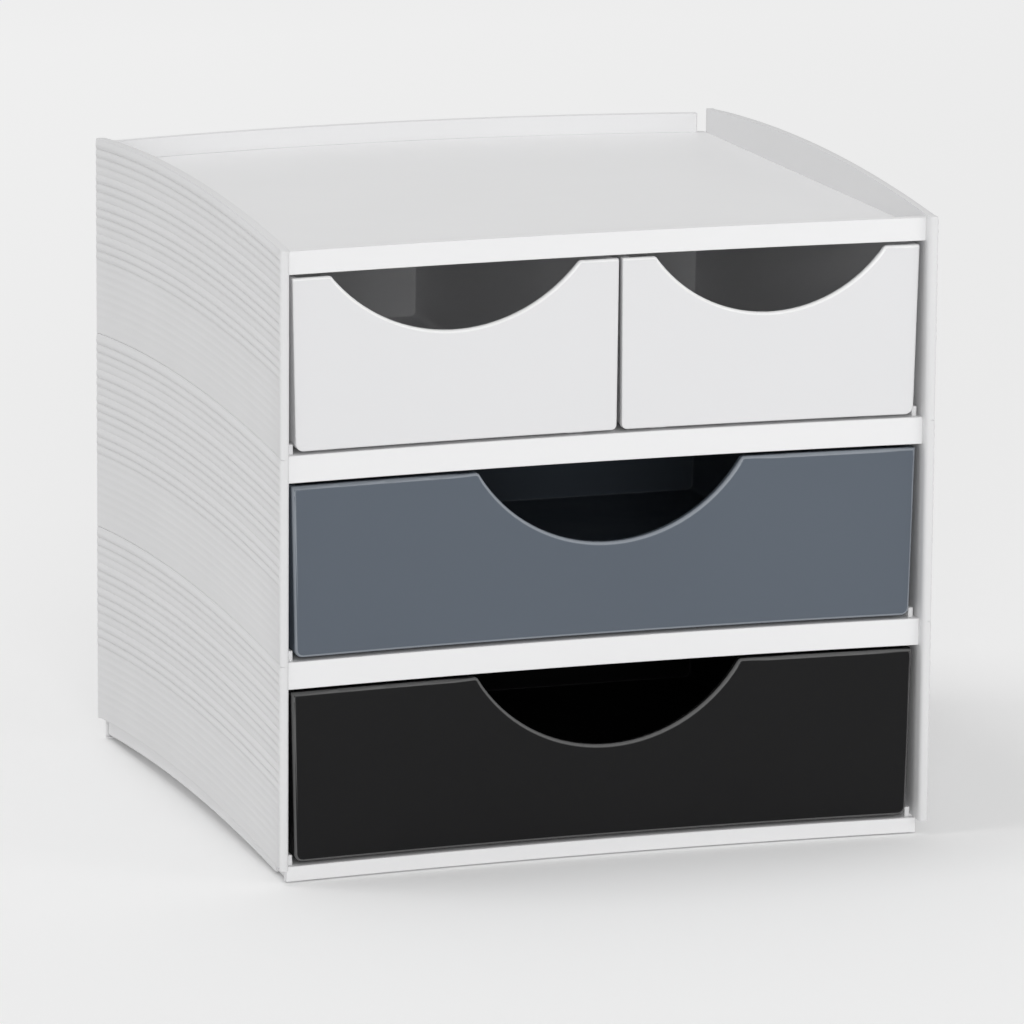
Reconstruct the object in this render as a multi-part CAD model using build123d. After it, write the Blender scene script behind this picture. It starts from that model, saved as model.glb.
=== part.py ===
from build123d import *
import os

# Desktop mini drawers: three stacked side modules, four decks and four sliding drawers.
# Millimetres. +Z is up, the drawer fronts face -Y, +X is to the right.
# The origin is on the table, under the middle of the overall box.

# Overall sizes
width = 210.0
side_depth = 196.0
module_count = 3
rear_bulge = 12.0
front_bow = 3.9
front_setback = 3.0

# Side panels
side_wall = 3.2
seam_front_height = 4.4
edge_crown = 4.6
edge_rear_rise = 2.9
side_corner_radius = 1.0
groove_pitch = 2.75
groove_width = 1.0
groove_depth = 0.45
groove_count = 18
groove_start = 2.2
groove_front_margin = 2.5
groove_rear_margin = 2.5

# Decks
deck_plate = 2.2
deck_floor_height = 5.0
deck_height = 8.33
bay_height = 54.76
apron_wall = 2.5
rim_wall = 2.2
stiffener_wall = 1.2
stiffener_count = 9
stiffener_clearance = 0.6
guide_wall = 1.5
guide_height = 3.0
guide_clearance = 0.4

# Base rails under the side panels
base_rail_rise = 9.5
base_arch = 5.0
base_arch_front_margin = 6.0
base_arch_rear_height = 2.0
base_rim_arch_drop = 0.8
base_rim_arch_width = 5.0
base_rail_front_margin = 8.0
rail_clearance = 0.3

# Top tray
tray_front_height = 7.16
tray_depth = 4.1
rail_height = 6.3
rail_notch = 3.0

# Lugs that lock the decks into the side panels
lug_length = 14.0
lug_height = 1.8
lug_reach = 1.6
lug_offset = 64.0
lug_rise = 0.3
base_lug_rise = 7.0
lug_clearance = 0.15

# Rear panels
rear_wall = 2.2

# Drawers
drawer_top_clearance = 1.3
drawer_floor_clearance = 0.3
drawer_rear_clearance = 1.3
drawer_setback = 0.5
drawer_side_gap = 1.8
drawer_side_draft = 1.2
drawer_wall = 1.8
drawer_floor = 2.0
drawer_front_wall = 2.4
drawer_corner_radius = 2.6
drawer_inner_radius = 2.0
drawer_edge_radius = 1.0
runner_height = 0.7
runner_width = 5.0
runner_inset = 9.0
middle_gap = 1.2
middle_gap_offset = 4.8
middle_side_draft = 0.3
middle_side_step = 1.2
middle_corner_radius = 1.6
large_scoop_width = 84.6
large_scoop_depth = 24.0
large_scoop_offset = 2.2
left_scoop_shoulder = 12.4
right_scoop_shoulder = 10.8
small_scoop_depth = 18.8
scoop_corner_radius = 1.5

# Drawer stops under the decks
stop_width = 5.0
stop_wall = 2.0
stop_setback = 19.0
shelf_stop_drop = 3.3
tray_stop_drop = 2.7

# Guide between the two small drawers
centre_guide_wall = 1.4
centre_guide_margin = 6.0

# Pins across the side seams
pin_radius = 0.8
pin_length = 10.0
pin_clearance = 0.05
pin_offset = 84.0

# Feet
foot_radius = 7.0
foot_protrusion = 0.4
foot_inset = 14.0
foot_clearance = 0.3

# Places that follow from the sizes
module_pitch = deck_height + bay_height
half_width = width / 2
inner_half = half_width - side_wall
front_y = -(side_depth + rear_bulge) / 2
rear_y = front_y + side_depth
middle_y = front_y + side_depth / 2
rear_middle_y = rear_y + rear_bulge
deck_front_y = front_y + front_setback
front_radius = (inner_half**2 + front_bow**2) / (2 * front_bow)
rear_radius = (half_width**2 + rear_bulge**2) / (2 * rear_bulge)
lip_top = deck_floor_height + (module_count - 1) * module_pitch + bay_height + tray_front_height
tray_floor = lip_top - tray_depth
drawer_half_top = inner_half - drawer_side_gap
drawer_rear_y = rear_y - rear_wall - drawer_rear_clearance
drawer_lift = drawer_floor_clearance + runner_height
drawer_height = bay_height - drawer_top_clearance - drawer_lift
guide_half_span = drawer_half_top - drawer_side_draft + guide_clearance
guide_outside = guide_half_span + guide_wall
base_rail_y0 = deck_front_y + apron_wall + base_rail_front_margin
base_rail_y1 = rear_y - rim_wall - rail_clearance
stop_y = deck_front_y + front_bow + stop_setback
cut_margin = 5.0


def bay_floor(level):
    return deck_floor_height + level * module_pitch


def bay_top(level):
    return bay_floor(level) + bay_height


def seam_height(level):
    return seam_front_height + level * module_pitch


def edge_height(level, y):
    """Height of the arched side edge under that level."""
    part_way = (y - front_y) / side_depth
    rise = edge_rear_rise * part_way + 4 * edge_crown * part_way * (1 - part_way)
    return seam_height(level) + rise


def block(x0, x1, y0, y1, z0, z1):
    place = Pos((x0 + x1) / 2, (y0 + y1) / 2, (z0 + z1) / 2)
    return place * Box(x1 - x0, y1 - y0, z1 - z0)


def front_bow_drum(setback, low, high):
    """The round space in front of the bowed fronts."""
    radius = front_radius + setback
    centre_y = deck_front_y + front_bow - front_radius
    return Pos(0, centre_y, (low + high) / 2) * Cylinder(radius, high - low)


def rear_bulge_drum(inset, low, high):
    """The round space inside the bulged rear."""
    centre_y = rear_middle_y - rear_radius
    return Pos(0, centre_y, (low + high) / 2) * Cylinder(rear_radius - inset, high - low)


def edge_band_face(low_level, high_level, low_drop, high_drop, y0, y1):
    """A face in the side plane between two arched edges, each taken lower by its drop."""
    y_mid = (y0 + y1) / 2
    low = [(y, edge_height(low_level, y) - low_drop) for y in (y0, y_mid, y1)]
    high = [(y, edge_height(high_level, y) - high_drop) for y in (y1, y_mid, y0)]
    outline = [
        ThreePointArc(*low),
        Line(low[2], high[0]),
        ThreePointArc(*high),
        Line(high[2], low[0]),
    ]
    return Plane.YZ * make_face(outline)


def side_grooves(level):
    """Shallow arched grooves on the outside of one left side panel."""
    y0 = front_y + groove_front_margin
    y1 = rear_y - groove_rear_margin
    grooves = []
    for index in range(groove_count):
        drop = groove_start + index * groove_pitch
        face = edge_band_face(level + 1, level + 1, drop + groove_width, drop, y0, y1)
        grooves.append(Pos(-half_width, 0, 0) * extrude(face, groove_depth))
    return grooves


def seam_pin_places():
    x = inner_half + side_wall / 2
    for seam in range(1, module_count):
        for side in (-1, 1):
            for end in (-1, 1):
                y = middle_y + end * pin_offset
                yield seam, side, Pos(side * x, y, edge_height(seam, y))


def lug_blocks(side, low, clearance, reach):
    """The two lugs, or the two pockets that take them, on one side."""
    blocks = []
    for end in (-1, 1):
        y = middle_y + end * lug_offset
        half_length = lug_length / 2 + clearance
        xs = sorted((side * inner_half, side * (inner_half + reach)))
        blocks.append(block(xs[0], xs[1], y - half_length, y + half_length,
                            low - clearance, low + lug_height + clearance))
    return blocks


def deck_lug_low(level):
    """Underside of the lugs of the deck that lies on top of that level's bay."""
    return bay_top(level) + lug_rise


def side_panel(side, level):
    face = edge_band_face(level, level + 1, 0.0, 0.0, front_y, rear_y)
    panel = Pos(-half_width, 0, 0) * extrude(face, side_wall)
    upright_edges = panel.edges().filter_by(Axis.Z)
    outer_edges = upright_edges.filter_by_position(Axis.X, -half_width - 0.1, -half_width + 0.1)
    panel = fillet(outer_edges, side_corner_radius)
    panel -= side_grooves(level)
    if side > 0:
        panel = mirror(panel, about=Plane.YZ)
    for seam, pin_side, place in seam_pin_places():
        if pin_side == side and seam in (level, level + 1):
            panel -= place * Cylinder(pin_radius + pin_clearance, pin_length + 2 * pin_clearance)
    pockets = lug_blocks(side, deck_lug_low(level), lug_clearance, lug_reach + lug_clearance)
    if level == 0:
        base_low = bay_floor(0) + base_lug_rise
        pockets += lug_blocks(side, base_low, lug_clearance, lug_reach + lug_clearance)
    return panel - pockets


def bowed_block(low, high, front_inset=0.0, rear_inset=0.0, side_inset=0.0):
    """A slab between the side panels, bowed at the front and bulged at the rear."""
    half = inner_half - side_inset
    slab = block(-half, half, front_y, rear_middle_y + cut_margin, low, high)
    slab -= front_bow_drum(front_inset, low - cut_margin, high + cut_margin)
    return slab & rear_bulge_drum(rear_inset, low - cut_margin, high + cut_margin)


def deck_stiffeners(low, high):
    """Ribs along the underside, from the apron to the rear rim."""
    ribs = []
    spacing = 2 * inner_half / (stiffener_count + 1)
    y0 = deck_front_y + front_bow + apron_wall / 2
    y1 = rear_y - rim_wall / 2
    for index in range(stiffener_count):
        x = -inner_half + (index + 1) * spacing
        ribs.append(block(x - stiffener_wall / 2, x + stiffener_wall / 2, y0, y1, low, high))
    return ribs


def guide_ribs(level):
    """Low ribs beside the drawers, on the deck's upper face."""
    low = bay_floor(level)
    y0 = deck_front_y + apron_wall
    y1 = rear_y - rear_wall
    ribs = []
    for side in (-1, 1):
        xs = sorted((side * guide_half_span, side * (guide_half_span + guide_wall)))
        ribs.append(block(xs[0], xs[1], y0, y1, low - deck_plate / 2, low + guide_height))
    return ribs


def stop_tab(x, level, drop):
    """The catch that the drawer's rear wall meets, down from the deck above the bay."""
    top = bay_top(level) + stiffener_clearance + deck_plate
    return block(x - stop_width / 2, x + stop_width / 2, stop_y - stop_wall, stop_y,
                 bay_top(level) - drop, top)


def hollow_deck(low, high, side_inset=0.0):
    """A plate with an apron in front, a rim round it and ribs under it."""
    under = high - deck_plate
    side_rim = side_inset + rim_wall
    deck = bowed_block(low, high, 0.0, 0.0, side_inset)
    deck -= bowed_block(low - cut_margin, under, apron_wall, rim_wall, side_rim)
    return deck + deck_stiffeners(low + stiffener_clearance, under + deck_plate / 2)


def end_bands(low, high):
    """The apron and the rear rim over the whole width between the side panels."""
    inside = bowed_block(low - cut_margin, high + cut_margin, apron_wall, rim_wall, -cut_margin)
    return bowed_block(low, high) - inside


def base_arch_prism(drop):
    """The low arched opening under the sides, right across the base."""
    below = -cut_margin
    start = (front_y + base_arch_front_margin, foot_protrusion)
    end = (rear_y, base_arch_rear_height - drop)
    outline = [
        ThreePointArc(start, (middle_y, base_arch - drop), end),
        Polyline(end, (rear_y, below), (start[0], below), start),
    ]
    face = Plane.YZ * make_face(outline)
    return Pos(-width, 0, 0) * extrude(face, 2 * width)


def base_deck():
    side_inset = inner_half - guide_outside
    deck = hollow_deck(foot_protrusion, bay_floor(0), side_inset)
    deck += end_bands(foot_protrusion, bay_floor(0))
    deck += guide_ribs(0)
    middle = inner_half - base_rim_arch_width
    arch = base_arch_prism(base_rim_arch_drop)
    deck -= arch - block(-middle, middle, -width, width, -width, width)
    for x, y in foot_places():
        deck -= Pos(x, y, foot_top() / 2) * Cylinder(foot_radius + foot_clearance, foot_top())
    return deck


def base_rail(side):
    """The rail that a lower side panel stands against, with its arched lower edge."""
    xs = sorted((side * guide_outside, side * inner_half))
    rail = block(xs[0], xs[1], base_rail_y0, base_rail_y1,
                 foot_protrusion, bay_floor(0) + base_rail_rise)
    rail -= base_arch_prism(0.0)
    return rail + lug_blocks(side, bay_floor(0) + base_lug_rise, 0.0, lug_reach)


def foot_top():
    return bay_floor(0) - deck_plate


def shelf(level):
    deck = hollow_deck(bay_top(level - 1), bay_floor(level))
    deck += guide_ribs(level)
    deck += stop_tab(0, level - 1, shelf_stop_drop)
    for side in (-1, 1):
        deck += lug_blocks(side, deck_lug_low(level - 1), 0.0, lug_reach)
    return deck


def top_tray():
    low = bay_top(module_count - 1)
    tray = bowed_block(low, tray_floor)
    lip = bowed_block(low, lip_top)
    lip -= bowed_block(low - cut_margin, lip_top + cut_margin, apron_wall, -cut_margin)
    rail_top = tray_floor + rail_height
    rail = bowed_block(low, rail_top, -cut_margin, 0.0, rail_notch)
    rail -= rear_bulge_drum(rim_wall, low - cut_margin, rail_top + cut_margin)
    tray = tray + lip + rail
    for drawer_left, drawer_right in small_drawer_spans():
        tray += stop_tab((drawer_left + drawer_right) / 2, module_count - 1, tray_stop_drop)
    for side in (-1, 1):
        tray += lug_blocks(side, deck_lug_low(module_count - 1), 0.0, lug_reach)
    return tray


def rear_panel(level):
    panel = bowed_block(bay_floor(level), bay_top(level), -cut_margin)
    inside = rear_bulge_drum(rear_wall, bay_floor(level) - cut_margin, bay_top(level) + cut_margin)
    return panel - inside


def small_drawer_spans():
    left_end = middle_gap_offset - middle_gap / 2
    right_start = middle_gap_offset + middle_gap / 2
    return ((-drawer_half_top, left_end), (right_start, drawer_half_top))


def drawer_section(ends, drafts, radii, inset, base):
    """Drafted section with rounded lower corners, seen from the front."""
    left = ends[0] + inset
    right = ends[1] - inset
    drafted_part = 1 - base / drawer_height
    points = [
        (left, drawer_height),
        (left + drafts[0] * drafted_part, base),
        (right - drafts[1] * drafted_part, base),
        (right, drawer_height),
    ]
    face = make_face(Polyline(*points, close=True))
    for corner, radius in zip(points[1:3], radii):
        face = fillet(corners_at(face, *corner), radius)
    return face


def corners_at(face, x, y):
    """The corner of a flat face at that place, as fillet takes it."""
    return [v for v in face.vertices() if abs(v.X - x) + abs(v.Y - y) < 0.01]


def along_depth(face, y_from, y_to, z):
    """Extrude a front-view face from y_from back to y_to."""
    plane = Plane(origin=(0, y_to, z), x_dir=(1, 0, 0), z_dir=(0, -1, 0))
    return extrude(plane * face, y_to - y_from)


def scoop_face(centre_x, chord, depth):
    """Round finger cut-out with eased top corners, seen from the front."""
    radius = (chord**2 / 4 + depth**2) / (2 * depth)
    top = drawer_height
    above = top + cut_margin
    circle_part = Pos(centre_x, top - depth + radius) * Circle(radius)
    circle_part &= Pos(centre_x, top - depth) * Rectangle(2 * chord, 2 * depth)
    mouth_width = chord + 4 * scoop_corner_radius
    mouth = Pos(centre_x, (top + above) / 2) * Rectangle(mouth_width, above - top)
    cut = circle_part + mouth
    for end in (-1, 1):
        cut = fillet(corners_at(cut, centre_x + end * chord / 2, top), scoop_corner_radius)
    return cut


def drawer(ends, middle_side, level, scoop_x, scoop_chord, scoop_depth):
    """One drawer. middle_side is -1, 0 or 1: the side that meets the other small drawer."""
    z = bay_floor(level) + drawer_lift
    drafts = [drawer_side_draft, drawer_side_draft]
    radii = [drawer_corner_radius, drawer_corner_radius]
    body_ends = list(ends)
    if middle_side:
        index = 0 if middle_side < 0 else 1
        drafts[index] = middle_side_draft
        radii[index] = middle_corner_radius
        body_ends[index] -= middle_side * middle_side_step
    panel_back = deck_front_y + front_bow + drawer_setback + drawer_front_wall
    panel_section = drawer_section(ends, drafts, radii, 0.0, 0.0)
    body_section = drawer_section(body_ends, drafts, radii, 0.0, 0.0)
    body = along_depth(body_section, panel_back, drawer_rear_y, z)
    body += along_depth(panel_section, front_y, panel_back, z)
    low = z - cut_margin
    high = z + drawer_height + cut_margin
    body -= front_bow_drum(drawer_setback, low, high)
    inner_radii = (drawer_inner_radius, drawer_inner_radius)
    inside = drawer_section(body_ends, drafts, inner_radii, drawer_wall, drawer_floor)
    hollow = along_depth(inside, front_y, drawer_rear_y - drawer_wall, z)
    hollow -= front_bow_drum(drawer_setback + drawer_front_wall, low, high)
    body -= hollow
    scoop = scoop_face(scoop_x, scoop_chord, scoop_depth)
    body -= along_depth(scoop, front_y - cut_margin, panel_back + cut_margin, z)
    body = ease_front(body)
    for x in (body_ends[0] + runner_inset, body_ends[1] - runner_inset - runner_width):
        body += block(x, x + runner_width, panel_back, drawer_rear_y,
                      z - runner_height, z + drawer_floor / 2)
    return body


def ease_front(body):
    """Round the outline of the drawer's front face."""
    front_face = body.faces().sort_by(Axis.Y)[0]
    return fillet(front_face.edges(), drawer_edge_radius)


def centre_guide():
    level = module_count - 1
    x0 = middle_gap_offset - centre_guide_wall / 2
    x1 = middle_gap_offset + centre_guide_wall / 2
    y0 = deck_front_y + front_bow + centre_guide_margin
    y1 = rear_y - rear_wall - centre_guide_margin
    return block(x0, x1, y0, y1, bay_floor(level), bay_floor(level) + guide_height)


def seam_pins():
    return Compound([place * Cylinder(pin_radius, pin_length) for seam, side, place in seam_pin_places()])


def foot_places():
    half = inner_half - foot_inset
    front = deck_front_y + foot_inset
    rear = rear_y - foot_inset
    return [(x, y) for y in (front, rear) for x in (-half, half)]


def foot(x, y):
    return Pos(x, y, foot_top() / 2) * Cylinder(foot_radius, foot_top())


def save(shape, name):
    export_step(shape, f"parts/{name}.step")


def main():
    os.makedirs("parts", exist_ok=True)
    levels = ("lower", "middle", "upper")
    save(base_deck(), "base_deck")
    save(base_rail(-1), "base_rail_left")
    save(base_rail(1), "base_rail_right")
    save(shelf(1), "lower_shelf")
    save(shelf(2), "upper_shelf")
    save(top_tray(), "top_tray")
    for level, level_name in enumerate(levels):
        save(side_panel(-1, level), f"left_side_{level_name}")
        save(side_panel(1, level), f"right_side_{level_name}")
        save(rear_panel(level), f"rear_panel_{level_name}")
    left_span, right_span = small_drawer_spans()
    small_drawers = (
        ("left", left_span, 1, left_scoop_shoulder),
        ("right", right_span, -1, right_scoop_shoulder),
    )
    for name, span, middle_side, shoulder in small_drawers:
        chord = span[1] - span[0] - 2 * shoulder
        scoop_x = (span[0] + span[1]) / 2
        small = drawer(span, middle_side, module_count - 1, scoop_x, chord, small_scoop_depth)
        save(small, f"drawer_top_{name}")
    for level, name in enumerate(("bottom", "middle")):
        span = (-drawer_half_top, drawer_half_top)
        wide = drawer(span, 0, level, large_scoop_offset, large_scoop_width, large_scoop_depth)
        save(wide, f"drawer_{name}")
    save(centre_guide(), "centre_guide")
    save(seam_pins(), "seam_pins")
    names = ("foot_front_left", "foot_front_right", "foot_rear_left", "foot_rear_right")
    for name, place in zip(names, foot_places()):
        save(foot(*place), name)


main()
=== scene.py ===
import math

import bpy
from mathutils import Matrix, Vector


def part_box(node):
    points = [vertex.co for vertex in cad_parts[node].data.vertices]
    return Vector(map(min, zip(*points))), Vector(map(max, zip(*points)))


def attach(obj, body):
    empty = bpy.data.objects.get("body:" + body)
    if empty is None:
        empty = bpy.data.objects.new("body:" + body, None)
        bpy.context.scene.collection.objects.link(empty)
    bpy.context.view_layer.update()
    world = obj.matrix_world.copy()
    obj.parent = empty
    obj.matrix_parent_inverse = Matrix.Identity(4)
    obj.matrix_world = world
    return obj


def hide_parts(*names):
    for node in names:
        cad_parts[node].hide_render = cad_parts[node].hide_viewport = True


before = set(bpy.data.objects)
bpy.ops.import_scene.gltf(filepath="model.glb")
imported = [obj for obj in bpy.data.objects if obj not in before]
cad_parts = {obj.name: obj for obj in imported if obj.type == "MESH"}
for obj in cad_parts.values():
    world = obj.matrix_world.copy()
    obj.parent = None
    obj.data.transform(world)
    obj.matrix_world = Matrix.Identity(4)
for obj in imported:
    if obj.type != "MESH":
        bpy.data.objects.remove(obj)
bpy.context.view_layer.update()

# Desktop mini drawers. Metres, +Z up, the drawer fronts face -Y.
MM = 0.001

levels = ("lower", "middle", "upper")
decks = ["base_deck", "lower_shelf", "upper_shelf", "top_tray"]
base_rails = ["base_rail_left", "base_rail_right"]
side_panels = [f"{side}_side_{level}" for side in ("left", "right") for level in levels]
rear_panels = [f"rear_panel_{level}" for level in levels]
feet = ["foot_front_left", "foot_front_right", "foot_rear_left", "foot_rear_right"]


# Materials: moulded plastics, with their patterns at real scale on Object coordinates.

shade_size = 60 * MM
smudge_size = 22 * MM
rub_size = 9 * MM
grain_size = 0.35 * MM
grain_strength = 0.5
# Where a rubbed edge starts and is full: how far the rounded normal agrees with the plain one. On
# the drawers the same edge mask also paints a highlight along the edges.
edge_start, edge_full = 0.995, 0.85
# The painted highlight on the rounded rim of a drawer front lies between its edges and its face,
# lighter where the rim would catch the light: the share of the normal that points along the depth,
# from no rim to full rim on each side.
rim_highlight_from_edge = (0.15, 0.35)
rim_highlight_from_face = (0.985, 0.93)
# The part of the smudge pattern's range that is spread over the roughness.
smudge_range = (0.3, 0.7)


def new_node(tree, kind, x, y, **values):
    node = tree.nodes.new(kind)
    node.location = (x, y)
    for name, value in values.items():
        setattr(node, name, value)
    return node


def set_inputs(node, **values):
    """Set sockets by name, with _ for a space."""
    for name, value in values.items():
        node.inputs[name.replace("_", " ")].default_value = value


def pattern(tree, place, x, y, size, detail):
    """A noise pattern of that real size on Object coordinates."""
    noise = new_node(tree, "ShaderNodeTexNoise", x, y)
    set_inputs(noise, Scale=1 / size, Detail=detail)
    tree.links.new(place.outputs["Object"], noise.inputs["Vector"])
    return noise.outputs["Fac"]


def ramp(tree, value, x, y, start_end, low_high=(0.0, 1.0)):
    """Map a value from one range to another and hold it at the ends."""
    node = new_node(tree, "ShaderNodeMapRange", x, y)
    set_inputs(node, From_Min=start_end[0], From_Max=start_end[1],
               To_Min=low_high[0], To_Max=low_high[1])
    tree.links.new(value, node.inputs["Value"])
    return node.outputs["Result"]


def combine(tree, x, y, operation, first, second):
    node = new_node(tree, "ShaderNodeMath", x, y, operation=operation)
    tree.links.new(first, node.inputs[0])
    tree.links.new(second, node.inputs[1])
    return node.outputs["Value"]


def moulded_plastic(name, colour, shade, wear_and_highlight_colour, specular, roughness, roughness_spread=0.05,
                    grain_depth=0.006 * MM, wear_and_highlight=0.35, edge_width=0.5 * MM, rim_highlight=0.0):
    """Injection-moulded plastic: fine grain, slow sheen changes, faint shading and rubbed edges,
    with a painted highlight on the drawers' edges and rounded rims.
    """
    material = bpy.data.materials.new(name)
    material.use_nodes = True
    tree = material.node_tree
    shader = tree.nodes["Principled BSDF"]
    shader.inputs["Specular IOR Level"].default_value = specular
    place = new_node(tree, "ShaderNodeTexCoord", -1300, 0)

    tint = new_node(tree, "ShaderNodeMix", -600, 350, data_type="RGBA")
    tint.inputs["A"].default_value = (*colour, 1)
    tint.inputs["B"].default_value = (*shade, 1)
    clouds = pattern(tree, place, -1050, 300, shade_size, detail=3)
    tree.links.new(clouds, tint.inputs["Factor"])

    # Rubbed patches along the edges: real wear, and on the drawers also a painted highlight where
    # the edges would catch the light.
    rounded = new_node(tree, "ShaderNodeBevel", -1050, -450, samples=6)
    rounded.inputs["Radius"].default_value = edge_width
    surface = new_node(tree, "ShaderNodeNewGeometry", -1050, -250)
    turn = new_node(tree, "ShaderNodeVectorMath", -850, -300, operation="DOT_PRODUCT")
    tree.links.new(rounded.outputs["Normal"], turn.inputs[0])
    tree.links.new(surface.outputs["Normal"], turn.inputs[1])
    edge = ramp(tree, turn.outputs["Value"], -650, -200, (edge_start, edge_full), (0.0, wear_and_highlight))
    rub = pattern(tree, place, -850, 0, rub_size, detail=4)
    rubbed_and_highlighted = combine(tree, -450, -100, "MULTIPLY", edge, rub)

    # A painted highlight on the rounded rim of a drawer front, which turns from its face to its
    # edges.
    facing = new_node(tree, "ShaderNodeSeparateXYZ", -1050, 650)
    tree.links.new(place.outputs["Normal"], facing.inputs["Vector"])
    depthways = new_node(tree, "ShaderNodeMath", -850, 650, operation="ABSOLUTE")
    tree.links.new(facing.outputs["Y"], depthways.inputs[0])
    off_edge = ramp(tree, depthways.outputs["Value"], -650, 750, rim_highlight_from_edge, (0.0, rim_highlight))
    off_face = ramp(tree, depthways.outputs["Value"], -650, 550, rim_highlight_from_face)
    painted_rim_highlight = combine(tree, -450, 650, "MULTIPLY", off_edge, off_face)

    # The edges and rims are lightened towards the edge colour: wear, plus a painted highlight.
    wear_and_highlight_mask = combine(tree, -300, 0, "MAXIMUM", rubbed_and_highlighted, painted_rim_highlight)
    worn_and_highlighted = new_node(tree, "ShaderNodeMix", -300, 300, data_type="RGBA")
    worn_and_highlighted.inputs["B"].default_value = (*wear_and_highlight_colour, 1)
    tree.links.new(tint.outputs["Result"], worn_and_highlighted.inputs["A"])
    tree.links.new(wear_and_highlight_mask, worn_and_highlighted.inputs["Factor"])
    tree.links.new(worn_and_highlighted.outputs["Result"], shader.inputs["Base Color"])

    smudge = pattern(tree, place, -1050, 80, smudge_size, detail=5)
    sheen = ramp(tree, smudge, -600, 100, smudge_range,
                 (roughness - roughness_spread, roughness + roughness_spread))
    tree.links.new(sheen, shader.inputs["Roughness"])

    grain = pattern(tree, place, -650, -450, grain_size, detail=2)
    bump = new_node(tree, "ShaderNodeBump", -300, -400)
    set_inputs(bump, Strength=grain_strength, Distance=grain_depth)
    tree.links.new(grain, bump.inputs["Height"])
    tree.links.new(rounded.outputs["Normal"], bump.inputs["Normal"])
    tree.links.new(bump.outputs["Normal"], shader.inputs["Normal"])
    return material


def dress(nodes, material):
    for name in nodes:
        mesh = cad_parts[name].data
        mesh.materials.clear()
        mesh.materials.append(material)


# The drawers' edges are lightened more widely and more strongly than the frame's: partly wear,
# partly a painted highlight along their rounded edges.
drawer_wear_and_highlights = {"wear_and_highlight": 0.9, "edge_width": 0.9 * MM}

white_frame = moulded_plastic(
    "white_frame_plastic", colour=(0.88, 0.88, 0.885), shade=(0.86, 0.86, 0.865),
    wear_and_highlight_colour=(0.93, 0.93, 0.93), specular=0.5, roughness=0.37)
# The side panels' edges are thin, so that the ridges stay crisp.
white_side = moulded_plastic(
    "white_side_plastic", colour=(0.775, 0.775, 0.78), shade=(0.755, 0.755, 0.76),
    wear_and_highlight_colour=(0.86, 0.86, 0.86), specular=0.4, roughness=0.44,
    grain_depth=0.004 * MM, edge_width=0.1 * MM)
white_drawer = moulded_plastic(
    "white_drawer_plastic", colour=(0.80, 0.80, 0.81), shade=(0.78, 0.78, 0.79),
    wear_and_highlight_colour=(0.97, 0.97, 0.97), specular=0.5, roughness=0.37, rim_highlight=1.0, **drawer_wear_and_highlights)
blue_grey_drawer = moulded_plastic(
    "blue_grey_drawer_plastic", colour=(0.100, 0.122, 0.152), shade=(0.092, 0.112, 0.141),
    wear_and_highlight_colour=(0.36, 0.39, 0.43), specular=0.4, roughness=0.38, rim_highlight=0.7, **drawer_wear_and_highlights)
black_drawer = moulded_plastic(
    "black_drawer_plastic", colour=(0.006, 0.006, 0.0065), shade=(0.008, 0.008, 0.0085),
    wear_and_highlight_colour=(0.16, 0.16, 0.16), specular=0.16, roughness=0.36, rim_highlight=0.8,
    **{**drawer_wear_and_highlights, "wear_and_highlight": 0.6})
foot_rubber = moulded_plastic(
    "foot_rubber", colour=(0.03, 0.03, 0.03), shade=(0.04, 0.04, 0.04),
    wear_and_highlight_colour=(0.08, 0.08, 0.08), specular=0.3, roughness=0.8, roughness_spread=0.08,
    grain_depth=0.04 * MM)

dress(decks + base_rails + ["centre_guide", "seam_pins"], white_frame)
dress(side_panels + rear_panels, white_side)
dress(["drawer_top_left", "drawer_top_right"], white_drawer)
dress(["drawer_middle"], blue_grey_drawer)
dress(["drawer_bottom"], black_drawer)
dress(feet, foot_rubber)


# Side panels: walls with arched edges and fine soft ridges, all alike in the three modules.
# The ridges lie on the rows of a flat grid, counted from the seam above.

side_wall = 3.2 * MM
module_pitch = 63.09 * MM
edge_crown = 4.6 * MM
edge_rear_rise = 2.9 * MM
ridge_height = 0.7 * MM
ridge_run_out = 2.2 * MM
ridge_rows = 92
first_ridge_row = 3
rows_per_ridge = 4
ridge_strengths = (1, 1, 0.8, 0.45, 1, 1, 0.55, 1, 1, 1, 0.4, 0.9, 1, 1, 0.4, 0.4, 0.3, 0.35, 0.3,
                   0.3, 0.2, 0.15)
ridge_section = ((-1, 0.7), (0, 1.0), (1, 0.7))
arch_columns = 28
outer_corner = 1.0 * MM
inner_corner = 1.4 * MM
corner_steps = 4
seam_chamfer = 0.3 * MM
seam_steps = 2
smooth_up_to = math.radians(35)
near = 0.02 * MM
edge_near = 0.1 * MM


def pick_points(piece, wanted):
    """Select the points that pass the test and leave the piece in edit mode."""
    bpy.ops.object.mode_set(mode="EDIT")
    bpy.ops.mesh.select_mode(type="VERT")
    bpy.ops.mesh.select_all(action="DESELECT")
    bpy.ops.object.mode_set(mode="OBJECT")
    for point in piece.data.vertices:
        point.select = wanted(point.co)
    bpy.ops.object.mode_set(mode="EDIT")


def edge_rise(y, front, rear):
    """How far the arched edges stand above their front end."""
    part_way = (y - front) / (rear - front)
    return edge_rear_rise * part_way + 4 * edge_crown * part_way * (1 - part_way)


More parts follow.
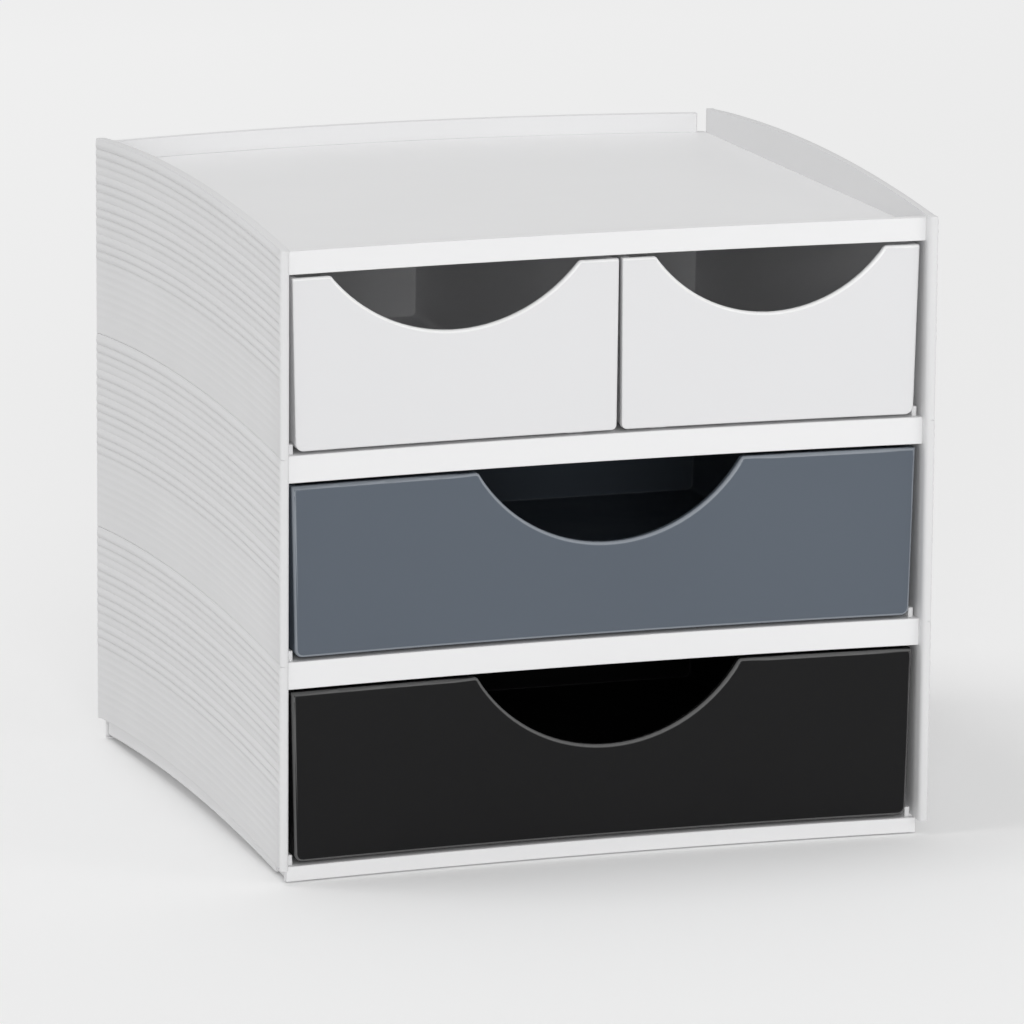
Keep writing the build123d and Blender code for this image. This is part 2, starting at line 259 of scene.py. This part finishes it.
def lower_left_side():
    """The lowest left side panel, from a flat grid on its outer face."""
    low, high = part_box("left_side_lower")
    outside, inside, front, rear, seam = low[0], high[0], low[1], high[1], low[2]
    valley = outside + ridge_height
    bpy.ops.object.select_all(action="DESELECT")
    bpy.ops.mesh.primitive_grid_add(
        x_subdivisions=ridge_rows, y_subdivisions=arch_columns, size=1,
        location=(valley, (front + rear) / 2, seam + module_pitch / 2),
        rotation=(0, -math.pi / 2, 0), scale=(1, 1, 1))
    panel = bpy.context.object
    panel.scale = (module_pitch, rear - front, 1)
    bpy.ops.object.transform_apply(location=True, rotation=True, scale=True)
    column_step = (rear - front) / arch_columns
    for end, step in ((front, 1), (rear, -1)):
        pick_points(panel, lambda co: abs(co.y - end - step * column_step) < near)
        bpy.ops.transform.translate(value=(0, step * (ridge_run_out - column_step), 0))
        pick_points(panel, lambda co: abs(co.y - end) < near)
        bpy.ops.transform.translate(value=(-ridge_height, 0, 0))
    row_step = module_pitch / ridge_rows
    for index, strength in enumerate(ridge_strengths):
        crest_row = ridge_rows - first_ridge_row - index * rows_per_ridge
        for row_offset, share in ridge_section:
            row_z = seam + (crest_row + row_offset) * row_step
            pick_points(panel, lambda co: abs(co.z - row_z) < near
                        and front + near < co.y < rear - near)
            bpy.ops.transform.translate(value=(-ridge_height * strength * share, 0, 0))
    columns = [front + column * column_step for column in range(2, arch_columns - 1)]
    for column_y in [front + ridge_run_out, *columns, rear - ridge_run_out, rear]:
        pick_points(panel, lambda co: abs(co.y - column_y) < near)
        bpy.ops.transform.translate(value=(0, 0, edge_rise(column_y, front, rear)))
    bpy.ops.mesh.select_all(action="SELECT")
    bpy.ops.mesh.extrude_region_move(TRANSFORM_OT_translate={"value": (side_wall, 0, 0)})
    bpy.ops.transform.resize(value=(0, 1, 1), center_override=(inside, 0, 0))
    bpy.ops.mesh.select_all(action="SELECT")
    bpy.ops.mesh.normals_make_consistent(inside=False)
    middle = (outside + inside) / 2
    for end in (front, rear):
        pick_points(panel, lambda co: co.x < middle and abs(co.y - end) < near)
        bpy.ops.mesh.select_mode(type="EDGE")
        bpy.ops.mesh.bevel(offset=outer_corner, segments=corner_steps, affect="EDGES")
        pick_points(panel, lambda co: co.x > middle and abs(co.y - end) < near)
        bpy.ops.mesh.select_mode(type="EDGE")
        bpy.ops.mesh.bevel(offset=inner_corner, segments=corner_steps, affect="EDGES")
    for edge_z in (seam, seam + module_pitch):
        pick_points(panel, lambda co: co.x < middle
                    and abs(co.z - edge_rise(co.y, front, rear) - edge_z) < edge_near)
        bpy.ops.mesh.select_mode(type="EDGE")
        bpy.ops.mesh.bevel(offset=seam_chamfer, segments=seam_steps, affect="EDGES")
    bpy.ops.mesh.select_all(action="SELECT")
    bpy.ops.mesh.normals_make_consistent(inside=False)
    bpy.ops.object.mode_set(mode="OBJECT")
    bpy.ops.object.shade_smooth_by_angle(angle=smooth_up_to)
    return panel


def copy_side(panel, side, level):
    """A copy of the lowest left panel in another module, or mirrored to the right."""
    bpy.ops.object.select_all(action="DESELECT")
    panel.select_set(True)
    bpy.context.view_layer.objects.active = panel
    bpy.ops.object.duplicate(linked=False)
    copy = bpy.context.object
    bpy.ops.object.mode_set(mode="EDIT")
    bpy.ops.mesh.select_all(action="SELECT")
    bpy.ops.transform.translate(value=(0, 0, level * module_pitch))
    if side == "right":
        bpy.ops.transform.resize(value=(-1, 1, 1), center_override=(0, 0, 0))
        bpy.ops.mesh.normals_make_consistent(inside=False)
    bpy.ops.object.mode_set(mode="OBJECT")
    return copy


def ridged_sides():
    first = lower_left_side()
    first.data.materials.append(white_side)
    for side in ("left", "right"):
        for level, level_name in enumerate(levels):
            panel = first
            if side == "right" or level > 0:
                panel = copy_side(first, side, level)
            panel.name = f"ridged_{side}_side_{level_name}"
            panel.data.name = panel.name
            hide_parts(f"{side}_side_{level_name}")
            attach(panel, "cabinet")


ridged_sides()


# Floor, light and camera.

floor_size = 30
floor_colour = (0.85, 0.85, 0.85, 1)
# The floor's glow grows from its front to its rear, for the eye and in reflections only.
glow_front_rear = (-0.5, 1.5)
glow_levels = (0.07, 0.25)
room_light = 0.58
room_seen = 0.86
middle_of_drawers = (0, 0, 0.1)


def studio_floor():
    bpy.ops.object.select_all(action="DESELECT")
    bpy.ops.mesh.primitive_plane_add(size=floor_size, location=(0, 0, 0))
    floor = bpy.context.object
    floor.name = "studio_floor"
    material = bpy.data.materials.new("studio_floor_paint")
    material.use_nodes = True
    tree = material.node_tree
    shader = tree.nodes["Principled BSDF"]
    shader.inputs["Base Color"].default_value = floor_colour
    shader.inputs["Roughness"].default_value = 0.9
    shader.inputs["Specular IOR Level"].default_value = 0.0
    path = new_node(tree, "ShaderNodeLightPath", -700, -200)
    seen = combine(tree, -500, -200, "MAXIMUM", path.outputs["Is Camera Ray"],
                   path.outputs["Is Glossy Ray"])
    seen = combine(tree, -350, -200, "MAXIMUM", seen, path.outputs["Is Transmission Ray"])
    place = new_node(tree, "ShaderNodeTexCoord", -900, -400)
    split = new_node(tree, "ShaderNodeSeparateXYZ", -700, -400)
    tree.links.new(place.outputs["Object"], split.inputs["Vector"])
    behind = ramp(tree, split.outputs["Y"], -500, -400, glow_front_rear, glow_levels)
    glow = combine(tree, -200, -200, "MULTIPLY", seen, behind)
    tree.links.new(glow, shader.inputs["Emission Strength"])
    shader.inputs["Emission Color"].default_value = (1, 1, 1, 1)
    floor.data.materials.append(material)


def soft_panel(name, place, size, watts):
    """A square lamp that faces the drawers."""
    lamp = bpy.data.lights.new(name, "AREA")
    lamp.shape = "SQUARE"
    lamp.size = size
    lamp.energy = watts
    panel = bpy.data.objects.new(name, lamp)
    bpy.context.scene.collection.objects.link(panel)
    panel.location = place
    ahead = Vector(middle_of_drawers) - Vector(place)
    panel.rotation_euler = ahead.to_track_quat("-Z", "Y").to_euler()


def pale_world():
    world = bpy.data.worlds.new("pale_world")
    bpy.context.scene.world = world
    world.use_nodes = True
    tree = world.node_tree
    room = tree.nodes["Background"]
    room.inputs["Color"].default_value = (1, 1, 1, 1)
    path = new_node(tree, "ShaderNodeLightPath", -700, 0)
    level = ramp(tree, path.outputs["Is Camera Ray"], -300, 0, (0.0, 1.0), (room_light, room_seen))
    tree.links.new(level, room.inputs["Strength"])


overall_width = 0.21
camera_aim = Vector((0, -0.00587, 0.45 * overall_width))
focal_pixels = 8090
image_pixels = 1024
sensor_width = 36


def photo_camera():
    """The camera at the photo's place: a long lens, from the left and a little above."""
    azimuth, elevation, roll = math.radians(19.17), math.radians(12.05), math.radians(0.43)
    ahead = Vector((math.sin(azimuth) * math.cos(elevation),
                    math.cos(azimuth) * math.cos(elevation),
                    -math.sin(elevation)))
    level_right = Vector((math.cos(azimuth), -math.sin(azimuth), 0))
    level_up = level_right.cross(ahead)
    right = math.cos(roll) * level_right + math.sin(roll) * level_up
    up = -math.sin(roll) * level_right + math.cos(roll) * level_up
    place = camera_aim + overall_width * (0.0099 * right - 0.0281 * up - 12.07 * ahead)
    lens = bpy.data.cameras.new("photo_camera")
    lens.sensor_width = sensor_width
    lens.lens = focal_pixels / image_pixels * sensor_width
    lens.clip_start = 0.1
    lens.clip_end = 100
    camera = bpy.data.objects.new("photo_camera", lens)
    bpy.context.scene.collection.objects.link(camera)
    turn = Matrix((right, up, -ahead)).transposed().to_4x4()
    camera.matrix_world = Matrix.Translation(place) @ turn
    bpy.context.scene.camera = camera


studio_floor()
pale_world()
soft_panel("front_panel", place=(-0.7, -2.6, 0.68), size=0.8, watts=18)
soft_panel("right_panel", place=(0.62, -0.72, 0.34), size=0.4, watts=1.0)
soft_panel("left_panel", place=(-1.3, 0.2, 2.9), size=1.2, watts=22)
photo_camera()
bpy.context.scene.view_settings.view_transform = "Standard"
